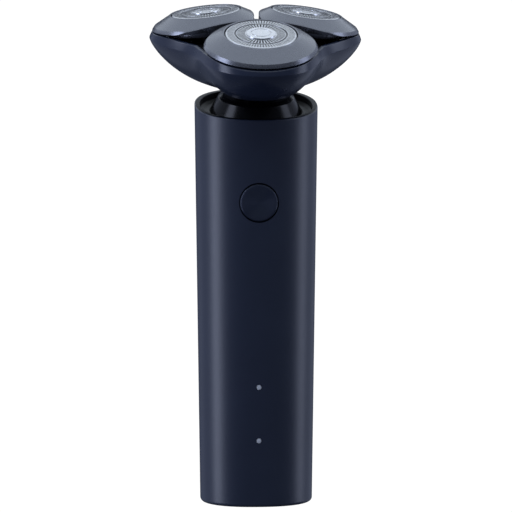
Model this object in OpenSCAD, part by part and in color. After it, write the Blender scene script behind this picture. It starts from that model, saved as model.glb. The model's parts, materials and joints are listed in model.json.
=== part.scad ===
// Compact cordless rotary shaver: tapered tube handle, leaned tilting head, three flexing shaving units.
// The handle stands on z = 0 with its front towards -Y. The head has its own frame: its origin is
// the middle of the plane of the three foils, and its axis leans forward from the handle's mouth.

/* [Handle] */
// Half width of the handle at its foot
foot_half_w = 17.4; // [15:0.1:20]
// Half width of the handle at the middle of its slanted mouth
mouth_half_w = 19.1; // [18:0.1:20]
// Depth of the handle as a share of its width
depth_share = 0.856; // [0.8:0.01:0.95]
// Height of the middle of the mouth above the base
mouth_z = 123.6; // [118:0.2:128]
// Thickness of the handle's wall
wall = 1.7; // [1.2:0.1:2]

/* [Head] */
// Forward lean of the head's axis, which is also the slant of the mouth
lean = 20; // [16:1:22]
// Height of the plane of the foils above the mouth plane
foil_h = 26.7; // [26:0.1:29]
// Distance of each shaving unit from the head's axis
unit_r = 18; // [18:0.1:18.2]
// Outward tilt of each shaving unit
unit_tilt = 8; // [6:1:9]
// Largest radius of each lobe of the bowl
lobe_r = 17.4; // [17.2:0.1:17.8]
// Thickness of the bowl's wall
bowl_wall = 1.4; // [1:0.1:1.5]

/* [Shaving units] */
// Radius of the ring cover round a foil
cover_r = 17.1; // [16.8:0.1:17.2]
// Radius of a foil
foil_r = 10.65; // [10.5:0.05:10.7]
// Number of slots in a foil's outer track
outer_slots = 45; // [30:1:60]
// Number of slots in a foil's inner track
inner_slots = 30; // [20:1:36]
// Number of blades on each track of an inner cutter
blades = 12; // [8:1:15]

/* [Controls] */
// Height of the middle of the power button above the base
button_z = 92.6; // [88:0.2:96]
// Radius of the power button
button_r = 5.95; // [5.5:0.05:6.2]
// Heights of the two indicator lights above the base
light_z = [20.4, 36.7];

/* [Hidden] */
$fn = 64;
eps = 0.01;
far = 100;

// Colours
navy = [0.09, 0.12, 0.19];
piano_navy = [0.07, 0.09, 0.16];
gloss_black = [0.02, 0.02, 0.025];
titanium = [0.42, 0.44, 0.48];
bright_steel = [0.78, 0.8, 0.82];
dull_steel = [0.6, 0.61, 0.63];
white_nylon = [0.9, 0.89, 0.85];
dark_rubber = [0.06, 0.06, 0.06];
brass_tone = [0.78, 0.62, 0.33];
board_green = [0.05, 0.3, 0.16];

// Handle sections
corner_power = 2.3;
taper = (mouth_half_w - foot_half_w) / mouth_z;
shell_top = mouth_z + 10;
fit_gap = 0.1;
function half_w(z) = foot_half_w + taper * z;
function half_d(z) = depth_share * half_w(z);

// Head frame: the leaned axis starts a little behind the middle of the mouth
mouth_back = 0.8;
mouth_level = -foil_h;
deck_level = mouth_level - 2;
deck_t = 1.5;
gimbal_level = -17;
pin_r = 0.8;
pin_run = 0.05;

// Bowl levels below the plane of the foils
bowl_wide = -8.2;
bowl_floor = -22.2;
bowl_foot_r = 7.2;
bowl_mouth_r = 6.4;
bowl_edge = 4.45;

// Shaving units, in a unit's own frame: z = 0 is the foil's face
units = [1, 2, 3];
function unit_dir(i) = -90 + 120 * (i - 1);
cover_edge = -3.85;
skirt_r = 13.4;
pocket_r = 13.9;
relief_r = 17.4;
unit_gap = 0.35;

// Gear train
sun_teeth = 24;
planet_teeth = 36;
pressure = 20;
backlash = 0.05;
gear_low = -13.4;
gear_high = -11.2;
cover_low = -10.8;
cover_high = -9.6;
coupler_r = 1.9;
hex_r = 1.45;
hex_end_r = 1.2;
hex_gap = 0.14;
ball_depth = -4.6;
ball_level = ball_depth * cos(unit_tilt);
drive_r = unit_r + ball_depth * sin(unit_tilt);
gear_module = drive_r / 30;

// Motor: upright in the handle, its shaft meets the leaned spindle at the drive joint
joint_level = -34;
foil_y = mouth_back - foil_h * sin(lean);
foil_z = mouth_z + foil_h * cos(lean);
motor_y = foil_y - joint_level * sin(lean);
joint_z = foil_z + joint_level * cos(lean);
motor_r = 9.2;
motor_low = 84;
motor_high = 108.6;

// Places of the inside parts
board_y = -8.6;
board_t = 1.2;
chassis_gap = 0.35;
chassis_t = 1.1;
chassis_low = 5;
chassis_high = 108;

function superellipse(a, b, n = 64) = [
    for (i = [0:n - 1])
        let (c = cos(360 * i / n), s = sin(360 * i / n))
        [a * sign(c) * pow(abs(c), 2 / corner_power), b * sign(s) * pow(abs(s), 2 / corner_power)]];

// The handle's tapered section between two heights, shrunk by inset all round
module tube_solid(low, high, inset) {
    grow = (half_w(high) - inset) / (half_w(low) - inset);
    translate([0, 0, low])
        linear_extrude(height = high - low, scale = grow, slices = 1)
            polygon(superellipse(half_w(low) - inset, half_d(low) - inset));
}

// Everything in the head is drawn in the head's frame
module head_frame() {
    translate([0, foil_y, foil_z])
        rotate([lean, 0, 0])
            children();
}

// A unit's frame: on its lobe, tilted outward
module unit_frame(i) {
    rotate(unit_dir(i))
        translate([unit_r, 0, 0])
            rotate([0, unit_tilt, 0])
                children();
}

// Below or above a level of the head frame
module head_slab(low, high) {
    head_frame()
        translate([-far / 2, -far / 2, low])
            cube([far, far, high - low]);
}

module ring(outer, inner, low, high) {
    translate([0, 0, low])
        difference() {
            cylinder(h = high - low, r = outer);
            translate([0, 0, -1])
                cylinder(h = high - low + 2, r = inner);
        }
}

// A pan head screw whose shank points down from the origin
module screw(head_r, shank_r, length) {
    difference() {
        cylinder(h = 0.8, r = head_r);
        translate([0, 0, 0.4])
            cylinder(h = 1, r = head_r * 0.45, $fn = 6);
    }
    translate([0, 0, -length])
        cylinder(h = length + eps, r = shank_r);
}

// ---- Handle ----

module handle_shell() {
    color(navy)
        difference() {
            tube_solid(0, shell_top, 0);
            tube_solid(-1, shell_top + 1, wall);
            head_slab(mouth_level, far);
            translate([0, 0, button_z])
                rotate([90, 0, 0])
                    cylinder(h = 30, r = button_r + 0.2);
            for (z = light_z)
                translate([0, 0, z])
                    rotate([90, 0, 0])
                        cylinder(h = 30, r = light_r + 0.05);
        }
}

slot_half = 3.1;
slot_r = 1.7;
slot_y = 6;

// The charging slot lies behind the middle of the base
module socket_outline(grow) {
    translate([0, slot_y]) {
        for (x = [-slot_half, slot_half])
            translate([x, 0])
                circle(r = slot_r + grow);
        square([2 * slot_half, 2 * (slot_r + grow)], center = true);
    }
}

module base_cap() {
    color(gloss_black)
        difference() {
            tube_solid(0, 2.2, wall + fit_gap);
            translate([0, 0, -1])
                linear_extrude(height = 4)
                    socket_outline(0);
        }
}

module base_seal() {
    color(dark_rubber)
        difference() {
            tube_solid(2.3, 3.3, wall + fit_gap);
            tube_solid(2.2, 3.4, wall + 1.4);
        }
}

module charge_socket() {
    color(dull_steel) {
        difference() {
            translate([0, 0, 2.3])
                linear_extrude(height = 7)
                    socket_outline(0.3);
            translate([0, 0, 2.2])
                linear_extrude(height = 6.4)
                    socket_outline(0);
        }
        translate([-slot_half, slot_y - 0.35, 3.2])
            cube([2 * slot_half, 0.7, 5.6]);
    }
}

// One half of the inner chassis: side is -1 for the front and 1 for the rear
module chassis_half(side) {
    difference() {
        tube_solid(chassis_low, chassis_high, wall + chassis_gap);
        tube_solid(chassis_low + 1.5, chassis_high + 1, wall + chassis_gap + chassis_t);
        head_slab(mouth_level - 6, far);
        translate([-far / 2, side > 0 ? -far + 0.1 : -0.1, 0])
            cube([far, far, far * 2]);
        linear_extrude(height = 12)
            socket_outline(0.8);
        translate([0, 0, button_z])
            rotate([90, 0, 0])
                cylinder(h = 30, r = 8.6);
        for (z = light_z)
            translate([0, 0, z])
                rotate([90, 0, 0])
                    cylinder(h = 30, r = light_r + 0.3);
    }
}

module chassis_front() {
    color(gloss_black)
        chassis_half(-1);
}

// The rear half carries the posts that the screws go into
module chassis_rear() {
    color(gloss_black) {
        chassis_half(1);
        for (x = [-1, 1], z = screw_z)
            translate([x * post_x, 0.2, z])
                rotate([-90, 0, 0])
                    cylinder(h = 5, r = 1.7);
    }
}

screw_z = [64, 78];
post_x = 12.9;

module chassis_screws() {
    color(dull_steel)
        for (x = [-1, 1], z = screw_z)
            translate([x * post_x, -1.2, z])
                rotate([90, 0, 0])
                    screw(1.7, 0.7, 1.3);
}

battery_y = 4.2;
battery_r = 7;
battery_low = 11;
battery_high = 60;

module battery_cell() {
    color("steelblue") {
        translate([0, battery_y, battery_low])
            cylinder(h = battery_high - battery_low - 1.2, r = battery_r);
        translate([0, battery_y, battery_high - 1.2])
            cylinder(h = 1.2, r = 2.6);
    }
}

module battery_tabs() {
    color(bright_steel)
        for (z = [battery_low - 0.35, battery_high + 0.05])
            translate([-2, board_y + board_t, z])
                cube([4, battery_y - board_y - board_t + 3, 0.3]);
}

module circuit_board() {
    color(board_green)
        difference() {
            translate([-9.5, board_y, 12])
                cube([19, board_t, 92]);
            for (x = [-7.5, 7.5], z = [16, 100])
                translate([x, board_y - 1, z])
                    rotate([-90, 0, 0])
                        cylinder(h = 4, r = 1.1);
        }
}

module board_components() {
    color([0.12, 0.12, 0.13]) {
        translate([-4, board_y + board_t, 63])
            cube([8, 1.4, 8]);
        translate([-8.5, board_y + board_t, 64])
            cube([3, 1.2, 5]);
        translate([0, board_y + board_t, 77])
            rotate([-90, 0, 0])
                cylinder(h = 3, r = 3.4);
        for (x = [-6.5, 5])
            translate([x, board_y + board_t, 74])
                cube([1.6, 1, 3.2]);
    }
}

switch_t = 1.8;

module tact_switch() {
    color(dull_steel) {
        translate([-3, board_y - switch_t, button_z - 3])
            cube([6, switch_t, 6]);
        translate([0, board_y - switch_t + eps, button_z])
            rotate([90, 0, 0])
                cylinder(h = 0.8, r = 1.6);
    }
}

light_r = 0.8;
led_t = 1.2;

module indicator_leds() {
    color(white_nylon)
        for (z = light_z)
            translate([-0.8, board_y - led_t, z - 1])
                cube([1.6, led_t, 2]);
}

// Each light pipe runs from its lamp to the handle's front face
module light_pipes() {
    color([0.62, 0.63, 0.66])
        for (z = light_z)
            translate([0, board_y - led_t - 0.1, z])
                rotate([90, 0, 0])
                    cylinder(h = half_d(z) + board_y - led_t - 0.12, r = light_r);
}

button_face = half_d(button_z) - 0.05;
button_t = 2.5;
flange_t = 0.8;
travel = 0.6;

module button_seal() {
    color(dark_rubber)
        translate([0, -button_face + button_t, button_z])
            rotate([-90, 0, 0])
                ring(7.9, button_r + 1.1, 0.45, 1.25);
}

// The cap is slightly dished, with a retaining flange behind the handle's wall and a stem
module power_button() {
    color(piano_navy)
        translate([0, -button_face, button_z])
            rotate([-90, 0, 0]) {
                difference() {
                    cylinder(h = button_t + 0.1, r = button_r);
                    translate([0, 0, -59.85])
                        sphere(r = 60, $fn = 128);
                }
                translate([0, 0, button_t + 0.1])
                    cylinder(h = flange_t, r = button_r + 0.8);
                translate([0, 0, button_t + flange_t])
                    cylinder(h = stem_l, r = 1.5);
            }
}

stem_l = button_face + board_y - switch_t - 0.8 - button_t - flange_t - travel - 0.1;

// ---- Motor and spindle ----

module motor_can() {
    color(dull_steel)
        translate([0, motor_y, motor_low])
            difference() {
                cylinder(h = motor_high - motor_low, r = motor_r);
                translate([0, 0, -1])
                    cylinder(h = motor_high - motor_low, r = motor_r - 0.9);
                cylinder(h = 40, r = 1.6);
            }
}

module motor_end_cap() {
    color(white_nylon)
        translate([0, motor_y, motor_low - 2])
            difference() {
                union() {
                    cylinder(h = 1.9, r = motor_r);
                    cylinder(h = 3.5, r = motor_r - 1);
                }
                translate([0, 0, 1])
                    cylinder(h = 4, r = 1.05);
            }
}

mount_t = 1.4;

module motor_mount() {
    color(white_nylon)
        difference() {
            tube_solid(motor_high, motor_high + mount_t, wall + 1.6);
            translate([0, motor_y, motor_high - 1])
                cylinder(h = 4, r = 3.2);
            for (x = [-1, 1])
                translate([x * 6, motor_y, motor_high - 1])
                    cylinder(h = 4, r = 0.9);
        }
}

module motor_screws() {
    color(dull_steel)
        for (x = [-1, 1])
            translate([x * 6, motor_y, motor_high + mount_t])
                screw(1.6, 0.8, mount_t);
}

module motor_armature() {
    color(brass_tone)
        translate([0, motor_y, motor_low + 3])
            difference() {
                cylinder(h = 17, r = 7.8);
                translate([0, 0, -1])
                    cylinder(h = 20, r = 1);
                for (i = [0:4])
                    rotate(72 * i)
                        translate([6.2, -0.6, -1])
                            cube([4, 1.2, 20]);
            }
}

// A barrel with a six-sided section, which drives a hexagonal socket at an angle
module hex_ball() {
    cylinder(h = 0.8, r1 = hex_r, r2 = hex_end_r, $fn = 6);
    mirror([0, 0, 1])
        cylinder(h = 0.8, r1 = hex_r, r2 = hex_end_r, $fn = 6);
}

module hex_socket(low, high) {
    translate([0, 0, low])
        cylinder(h = high - low, r = hex_r + hex_gap, $fn = 6);
}

module motor_shaft() {
    color(bright_steel) {
        translate([0, motor_y, motor_low - 0.5])
            cylinder(h = joint_z - motor_low - 1.9, r = 1);
        translate([0, motor_y, joint_z - 2.5])
            cylinder(h = 2.3, r = 0.7);
        translate([0, motor_y, joint_z])
            hex_ball();
    }
}

spindle_r = 1.1;

// Hexagonal socket at the bottom, six-sided ball at the middle of the gimbal
module drive_spindle() {
    color(bright_steel)
        head_frame() {
            difference() {
                translate([0, 0, joint_level - 1.6])
                    cylinder(h = 4.4, r = 2.5);
                hex_socket(joint_level - 3, joint_level + 2);
            }
            translate([0, 0, joint_level + 2.6])
                cylinder(h = gimbal_level - joint_level - 2.9, r = spindle_r);
            translate([0, 0, gimbal_level])
                hex_ball();
        }
}

// ---- Neck ----

module top_deck() {
    color(gloss_black)
        difference() {
            intersection() {
                tube_solid(chassis_high, shell_top + 1, wall + fit_gap);
                head_slab(deck_level - deck_t, deck_level);
            }
            head_frame()
                translate([0, cone_y, deck_level - 4])
                    cylinder(h = 8, r = cone_r + 0.1);
        }
}

module deck_seal() {
    color(dark_rubber)
        difference() {
            intersection() {
                tube_solid(chassis_high - 2, shell_top + 1, wall + fit_gap);
                head_slab(deck_level - deck_t - 1.15, deck_level - deck_t - 0.15);
            }
            tube_solid(chassis_high - 3, shell_top + 2, wall + 1.3);
        }
}

cone_r = 14.3;
cone_top_r = 11.8;
cone_top = mouth_level + 3.5;
cup_r = 4.9;
cup_bore = 3.75;
flange_top = deck_level - deck_t - 0.1;
flange_level = flange_top - 1.3;
flange_half = 12.5;
cone_y = -1.2;

// A flared cone that fills the deck, over a flange with two flat sides
module neck_cone() {
    translate([0, cone_y, 0]) {
        rotate_extrude()
            polygon([[0, flange_top - eps], [cone_r, flange_top - eps], [cone_r, deck_level],
                [cone_top_r, cone_top - 0.8], [cone_top_r - 0.6, cone_top - 0.2],
                [cone_top_r - 1.4, cone_top], [0, cone_top]]);
        intersection() {
            translate([0, -1, flange_level])
                cylinder(h = flange_top - flange_level, r = cone_r + 0.6);
            translate([-far / 2, -1 - flange_half, flange_level - 1])
                cube([far, 2 * flange_half, 4]);
        }
    }
}

// The neck: the cone, a slim tube and a cup that carries the pitch pins
module neck_post() {
    color(gloss_black)
        head_frame()
            difference() {
                union() {
                    neck_cone();
                    translate([0, 0, cone_top - 1])
                        cylinder(h = gimbal_level + 2.6 - cone_top, r = cup_r);
                }
                translate([0, 0, flange_level - 1])
                    cylinder(h = 1.9, r = 2.9);
                translate([0, 0, flange_level - 1])
                    cylinder(h = gimbal_level - 7 - flange_level, r = 1.65);
                translate([0, 0, gimbal_level - 8])
                    cylinder(h = 8, r = 2.3);
                translate([0, 0, gimbal_level - 2.4])
                    cylinder(h = 5, r = cup_bore);
                translate([0, 0, gimbal_level])
                    rotate([0, 90, 0])
                        cylinder(h = 2 * cup_r + 2, r = pin_r + pin_run, center = true);
                for (a = [45:90:315])
                    rotate(a)
                        translate([10, 0, flange_level - 1])
                            cylinder(h = 3.4, r = 0.8);
            }
}

module neck_screws() {
    color(dull_steel)
        head_frame()
            for (a = [45:90:315])
                rotate(a)
                    translate([10, 0, flange_level])
                        mirror([0, 0, 1])
                            screw(1.5, 0.8, 2.2);
}

module neck_bearing() {
    color(brass_tone)
        head_frame()
            ring(2.3, spindle_r + 0.05, gimbal_level - 8, gimbal_level - 3.6);
}

module shaft_seal() {
    color(dark_rubber)
        head_frame()
            ring(2.3, spindle_r + 0.05, gimbal_level - 3.5, gimbal_level - 2.5);
}

// ---- Gimbal ----

ring_in = 5.4;
ring_out = 7.3;
ring_half_h = 1.3;

module gimbal_ring() {
    color(dull_steel)
        head_frame()
            translate([0, 0, gimbal_level])
                difference() {
                    ring(ring_out, ring_in, -ring_half_h, ring_half_h);
                    rotate([0, 90, 0])
                        cylinder(h = 20, r = pin_r, center = true);
                    rotate([90, 0, 0])
                        cylinder(h = 20, r = pin_r + pin_run, center = true);
                }
}

module pitch_pins() {
    color(bright_steel)
        head_frame()
            for (s = [-1, 1])
                translate([s * (cup_bore + ring_out) / 2, 0, gimbal_level])
                    rotate([0, 90, 0])
                        cylinder(h = ring_out - cup_bore, r = pin_r, center = true);
}

ear_in = 7.9;
ear_out = 9.4;

module roll_pins() {
    color(bright_steel)
        head_frame()
            for (s = [-1, 1])
                translate([0, s * (ring_in + ear_out) / 2, gimbal_level])
                    rotate([90, 0, 0])
                        cylinder(h = ear_out - ring_in, r = pin_r, center = true);
}

// ---- Head base ----

// Distance of an outline of three round lobes and straight sides from the axis, a from a lobe
function lobe_reach(a, r_pos, r) =
    abs(a) < atan2(r * sin(60), r_pos + r * cos(60))
        ? r_pos * cos(a) + sqrt(r * r - pow(r_pos * sin(a), 2))
        : (r_pos / 2 + r) / cos(60 - abs(a));

// Angle from the nearest lobe's direction, for a turn counted from the front lobe
function from_lobe(turn) = (turn + 60) % 120 - 60;

module lobed(r_pos, r) {
    polygon([for (turn = [0:360 / bowl_stations:359])
        polar(lobe_reach(from_lobe(turn), r_pos, r), turn + unit_dir(1))]);
}

// Height of the roof of three tilted planes, drop below the foils at the units' middles
function roof(a, reach, drop) = -drop - (reach * cos(a) - unit_r) * tan(unit_tilt);

// Bowl sections below its widest level, t from 0 there to 1 at the floor
function bowl_side(t, r_low, r_high, level_low) = [
    unit_r * pow(1 - pow(t, 1.33), 0.38),
    r_low + (r_high - r_low) * pow(1 - pow(t, 1.33), 0.66),
    bowl_wide + (level_low - bowl_wide) * t, 0];

bowl_steps = 8;
bowl_stations = 72;
shoulder = [for (s = [0.35, 0.7, 1]) [unit_r, lobe_r - 0.75 * s * s, bowl_wide, s]];
outer_side = [for (k = [bowl_steps:-1:0]) bowl_side(k / bowl_steps, bowl_foot_r, lobe_r, bowl_floor)];
inner_top = [unit_r, lobe_r - 0.75 - bowl_wall + 0.35, bowl_wide, 1];
inner_side = [for (k = [0:bowl_steps])
    bowl_side(k / bowl_steps, bowl_foot_r - 0.2, lobe_r - bowl_wall, bowl_floor + 1.6)];
bowl_profile = concat(outer_side, shoulder, [inner_top], inner_side,
    [[0, bowl_mouth_r, bowl_floor + 1.6, 0], [0, bowl_mouth_r, bowl_floor, 0]]);

// A closed skin swept round the axis through the lobed sections of a profile
module lobed_shell(profile, stations) {
    n = len(profile);
    points = [for (i = [0:stations - 1], p = profile)
        let (turn = 360 * i / stations,
            a = from_lobe(turn),
            reach = p[0] == 0 ? p[1] : lobe_reach(a, p[0], p[1]),
            dir = turn + unit_dir(1))
        [reach * cos(dir), reach * sin(dir), p[2] * (1 - p[3]) + p[3] * roof(a, reach, bowl_edge)]];
    faces = [for (i = [0:stations - 1], j = [0:n - 1], half = [0, 1])
        let (i2 = (i + 1) % stations, j2 = (j + 1) % n,
            p00 = i * n + j, p01 = i * n + j2, p10 = i2 * n + j, p11 = i2 * n + j2)
        half == 0 ? [p00, p01, p11] : [p00, p11, p10]];
    polyhedron(points = points, faces = faces, convexity = 6);
}

module head_bowl() {
    color(piano_navy)
        head_frame()
            difference() {
                union() {
                    lobed_shell(bowl_profile, bowl_stations);
                    for (i = units)
                        rotate(unit_dir(i) + 60)
                            translate([cover_screw_r, 0, boss_low])
                                cylinder(h = cover_low - boss_low - 0.05, r = 1.7);
                }
                for (i = units)
                    rotate(unit_dir(i) + 60)
                        translate([cover_screw_r, 0, boss_low + 2.3])
                            cylinder(h = 8, r = 0.75);
            }
}

boss_low = -15.5;

cradle_low = -14.9;
cradle_high = -13.7;
post_r = 1.2;
cradle_screw_r = 13.2;

// Floor of the drive case: ears for the roll pins below, posts for the planet gears above
module gimbal_cradle() {
    color(gloss_black)
        head_frame()
            difference() {
                union() {
                    translate([0, 0, cradle_low])
                        linear_extrude(height = cradle_high - cradle_low)
                            lobed(14.5, 10.5);
                    for (s = [-1, 1])
                        translate([-2, s > 0 ? ear_in : -ear_out, gimbal_level - 1.4])
                            cube([4, ear_out - ear_in, cradle_low - gimbal_level + 1.4 + eps]);
                    for (i = units)
                        rotate(unit_dir(i))
                            translate([drive_r, 0, cradle_high - eps])
                                cylinder(h = 1.9, r = post_r);
                }
                translate([0, 0, cradle_low - 1])
                    cylinder(h = 4, r = 6.6);
                translate([0, 0, gimbal_level])
                    rotate([90, 0, 0])
                        cylinder(h = 2 * ear_out + 2, r = pin_r, center = true);
                for (i = units)
                    rotate(unit_dir(i) + 60)
                        translate([cradle_screw_r, 0, cradle_low - 1])
                            cylinder(h = 4, r = 0.9);
            }
}

module cradle_screws() {
    color(dull_steel)
        head_frame()
            for (i = units)
                rotate(unit_dir(i) + 60)
                    translate([cradle_screw_r, 0, cradle_low])
                        mirror([0, 0, 1])
                            screw(1.5, 0.75, 3.9);
}

// Lid of the drive case, with a stub for the sun gear and a collar round each coupler
module gear_cover() {
    color(gloss_black)
        head_frame() {
            difference() {
                union() {
                    translate([0, 0, cover_low])
                        linear_extrude(height = cover_high - cover_low)
                            lobed(unit_r, 14.2);
                    for (i = units)
                        rotate(unit_dir(i) + 60)
                            translate([cradle_screw_r, 0, cradle_high + 0.1])
                                cylinder(h = cover_low - cradle_high, r = 2);
                    translate([0, 0, cover_low - 1.7])
                        cylinder(h = 2, r = post_r);
                }
                for (i = units) {
                    rotate(unit_dir(i))
                        translate([drive_r, 0, cover_low - 1])
                            cylinder(h = 4, r = coupler_r + 0.08);
                    rotate(unit_dir(i) + 60)
                        translate([cradle_screw_r, 0, cradle_high - 1])
                            cylinder(h = 3.75, r = 0.75);
                    rotate(unit_dir(i) + 60)
                        translate([cover_screw_r, 0, cover_low - 1])
                            cylinder(h = 4, r = 0.75);
                    rotate(unit_dir(i) + 60)
                        translate([cover_screw_r, 0, cover_high - 0.8])
                            cylinder(h = 2, r = 1.5);
                }
            }
        }
}

cover_screw_r = 19.5;

module cover_screws() {
    color(dull_steel)
        head_frame()
            for (i = units)
                rotate(unit_dir(i) + 60)
                    translate([cover_screw_r, 0, cover_high - 0.8])
                        screw(1.4, 0.75, 2.4);
}

module coupler_seals() {
    color(dark_rubber)
        head_frame()
            for (i = units)
                rotate(unit_dir(i))
                    translate([drive_r, 0, 0])
                        ring(3.4, coupler_r + 0.08, cover_high, cover_high + 0.6);
}

// ---- Gear train ----

function involute(a) = tan(a) * 180 / PI - a;
function pitch_r(teeth) = gear_module * teeth / 2;
function flank(teeth, r) = 90 / teeth - backlash / pitch_r(teeth) * 180 / PI + involute(pressure)
    - involute(acos(min(1, pitch_r(teeth) * cos(pressure) / r)));
function polar(r, a) = [r * cos(a), r * sin(a)];
function gear_outline(teeth) =
    let (radii = [for (k = [-1.25, -0.25, 0.35, 0.9]) pitch_r(teeth) + gear_module * k])
    [for (i = [0:teeth - 1], k = [-4:3])
        let (r = radii[k < 0 ? k + 4 : 3 - k])
        polar(r, 360 * i / teeth + (k < 0 ? -1 : 1) * flank(teeth, r))];

module sun_gear() {
    color(white_nylon)
        head_frame()
            difference() {
                union() {
                    translate([0, 0, gear_low])
                        linear_extrude(height = gear_high - gear_low)
                            polygon(gear_outline(sun_teeth));
                    translate([0, 0, gimbal_level - 1.5])
                        cylinder(h = gear_low - gimbal_level + 1.6, r = 2.7);
                }
                translate([0, 0, gear_high - 1.7])
                    cylinder(h = 3, r = post_r + 0.05);
                hex_socket(gimbal_level - 2, gimbal_level + 2);
            }
}

// Each planet has a gap between two teeth facing the sun's tooth
module planet_gear(i) {
    color(white_nylon)
        head_frame()
            rotate(unit_dir(i))
                translate([drive_r, 0, gear_low])
                    difference() {
                        rotate(180 + 180 / planet_teeth)
                            linear_extrude(height = gear_high - gear_low)
                                polygon(gear_outline(planet_teeth));
                        translate([0, 0, -1])
                            cylinder(h = 2.7, r = post_r + 0.05);
                        for (k = [0:5])
                            rotate(60 * k)
                                translate([6.2, 0, -1])
                                    cylinder(h = 5, r = 2);
                    }
}

module drive_coupler(i) {
    color(white_nylon)
        head_frame()
            rotate(unit_dir(i))
                translate([drive_r, 0, 0]) {
                    translate([0, 0, gear_high])
                        cylinder(h = cover_high + 1.6 - gear_high, r = coupler_r);
                    translate([0, 0, cover_high + 1.6 - eps])
                        cylinder(h = ball_level - cover_high - 1.9, r = 0.8);
                    translate([0, 0, ball_level])
                        hex_ball();
                }
}

// ---- Cutter unit ----

// Everything above the roof of three tilted planes at a given drop below the foils
module above_roof(drop) {
    for (i = units)
        unit_frame(i)
            translate([-far, -far, -drop])
                cube([2 * far, 2 * far, far]);
}

frame_low = -9.4;
plate_t = 1;
web_top = -3.6;

// Black deck between the covers, with a round pocket for each shaving unit
module cutter_frame() {
    color(gloss_black)
        head_frame()
            difference() {
                translate([0, 0, frame_low])
                    linear_extrude(height = 9)
                        lobed(unit_r, lobe_r - bowl_wall - 0.75);
                above_roof(bowl_edge - 0.1);
                translate([0, 0, web_top])
                    cylinder(h = 9, r = 3);
                for (i = units)
                    unit_frame(i) {
                        translate([0, 0, -6])
                            cylinder(h = 9, r = relief_r);
                        translate([0, 0, -14])
                            cylinder(h = 20, r = pocket_r);
                    }
                for (i = units)
                    rotate(unit_dir(i))
                        translate([unit_r, 0, frame_low - 1])
                            cylinder(h = plate_t + 1.1, r = pocket_r);
                for (i = units)
                    rotate(unit_dir(i) + 60)
                        translate([magnet_at, 0, frame_low - 1])
                            cylinder(h = 2.2, r = magnet_r);
            }
}

magnet_at = 14.4;
magnet_r = 1.2;

plate_hole_r = 5.2;

// Holds the three inner cutters in the frame
module retaining_plate() {
    color(titanium)
        head_frame()
            for (i = units)
                rotate(unit_dir(i))
                    translate([unit_r, 0, frame_low])
                        difference() {
                            cylinder(h = plate_t, r = pocket_r - 0.1);
                            translate([0, 0, -1])
                                cylinder(h = plate_t + 2, r = plate_hole_r);
                            for (k = [0:2])
                                rotate(60 + 120 * k)
                                    translate([10, 0, -1])
                                        cylinder(h = plate_t + 2, r = 3);
                        }
}

module holding_magnets() {
    color(dull_steel)
        head_frame()
            for (i = units)
                rotate(unit_dir(i) + 60)
                    translate([magnet_at, 0, frame_low])
                        cylinder(h = 1.15, r = magnet_r);
}

// ---- Shaving units ----

// Wedge of the head that belongs to one unit, drawn in the head frame
module unit_wedge(i) {
    rotate(unit_dir(i))
        translate([2 * unit_gap, 0, -20])
            linear_extrude(height = 40)
                polygon([[0, 0], [far * cos(60), -far * sin(60)], [far, 0], [far * cos(60), far * sin(60)]]);
}

// Conical cover with a bevelled edge, cut straight where it meets its neighbours
module ring_cover(i) {
    color(titanium)
        head_frame()
            intersection() {
                unit_frame(i)
                    rotate_extrude($fn = 96)
                        polygon([[foil_r + 0.25, -0.35], [foil_r + 0.5, 0.05], [foil_r + 1, 0.05],
                            [cover_r - 1.3, -2.35], [cover_r - 0.1, -3.25], [cover_r, -3.4],
                            [cover_r, cover_edge], [skirt_r, cover_edge], [skirt_r, -5.6],
                            [skirt_r - 1.1, -5.6], [skirt_r - 1.1, -3.1], [foil_r + 1.2, -2.1],
                            [foil_r + 0.25, -2.1]]);
                unit_wedge(i);
            }
}

track_out = [8.15, 10.15];
track_in = [4.9, 7.15];
groove = [7.4, 7.95];
slot_w = 0.34;
foil_t = 0.35;

module slots(count, track) {
    for (k = [0:count - 1])
        rotate(360 * k / count)
            translate([track[0], -slot_w / 2])
                square([track[1] - track[0], slot_w]);
}

// A shallow steel cup with two rings of slots and a groove between them
module shaving_foil(i) {
    color(bright_steel)
        head_frame()
            unit_frame(i)
                difference() {
                    union() {
                        translate([0, 0, -foil_t])
                            linear_extrude(height = foil_t)
                                difference() {
                                    circle(r = foil_r);
                                    slots(outer_slots, track_out);
                                    slots(inner_slots, track_in);
                                }
                        ring(foil_r, foil_r - 0.35, -2.3, -foil_t + eps);
                        ring(foil_r + 1, foil_r - 0.35, -2.6, -2.2);
                    }
                    translate([0, 0, -0.2])
                        ring(groove[1], groove[0], 0, 1);
                }
}

cap_r = 4.35;

module foil_cap(i) {
    color(bright_steel)
        head_frame()
            unit_frame(i)
                rotate_extrude()
                    polygon([[0, 0], [cap_r, 0], [cap_r, 0.15], [cap_r - 0.25, 0.35], [3.1, 0.35],
                        [2.95, 0.25], [2.8, 0.35], [0, 0.42]]);
}

blade_top = -0.65;
blade_h = 1.5;

// A disc of raised blades on two tracks, with a hexagonal socket in its hub
module inner_cutter(i) {
    color(dull_steel)
        head_frame()
            unit_frame(i)
                difference() {
                    union() {
                        ring(9.9, 2.2, blade_top - blade_h - 0.6, blade_top - blade_h + eps);
                        translate([0, 0, -6])
                            cylinder(h = 6 + blade_top - 0.4, r = 2.9);
                        for (k = [0:blades - 1], track = [track_out, track_in])
                            rotate(360 * k / blades)
                                translate([track[0] + 0.1, -0.3, blade_top - blade_h])
                                    cube([track[1] - track[0] - 0.4, 0.6, blade_h]);
                    }
                    hex_socket(-7, -1.9);
                }
}

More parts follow.
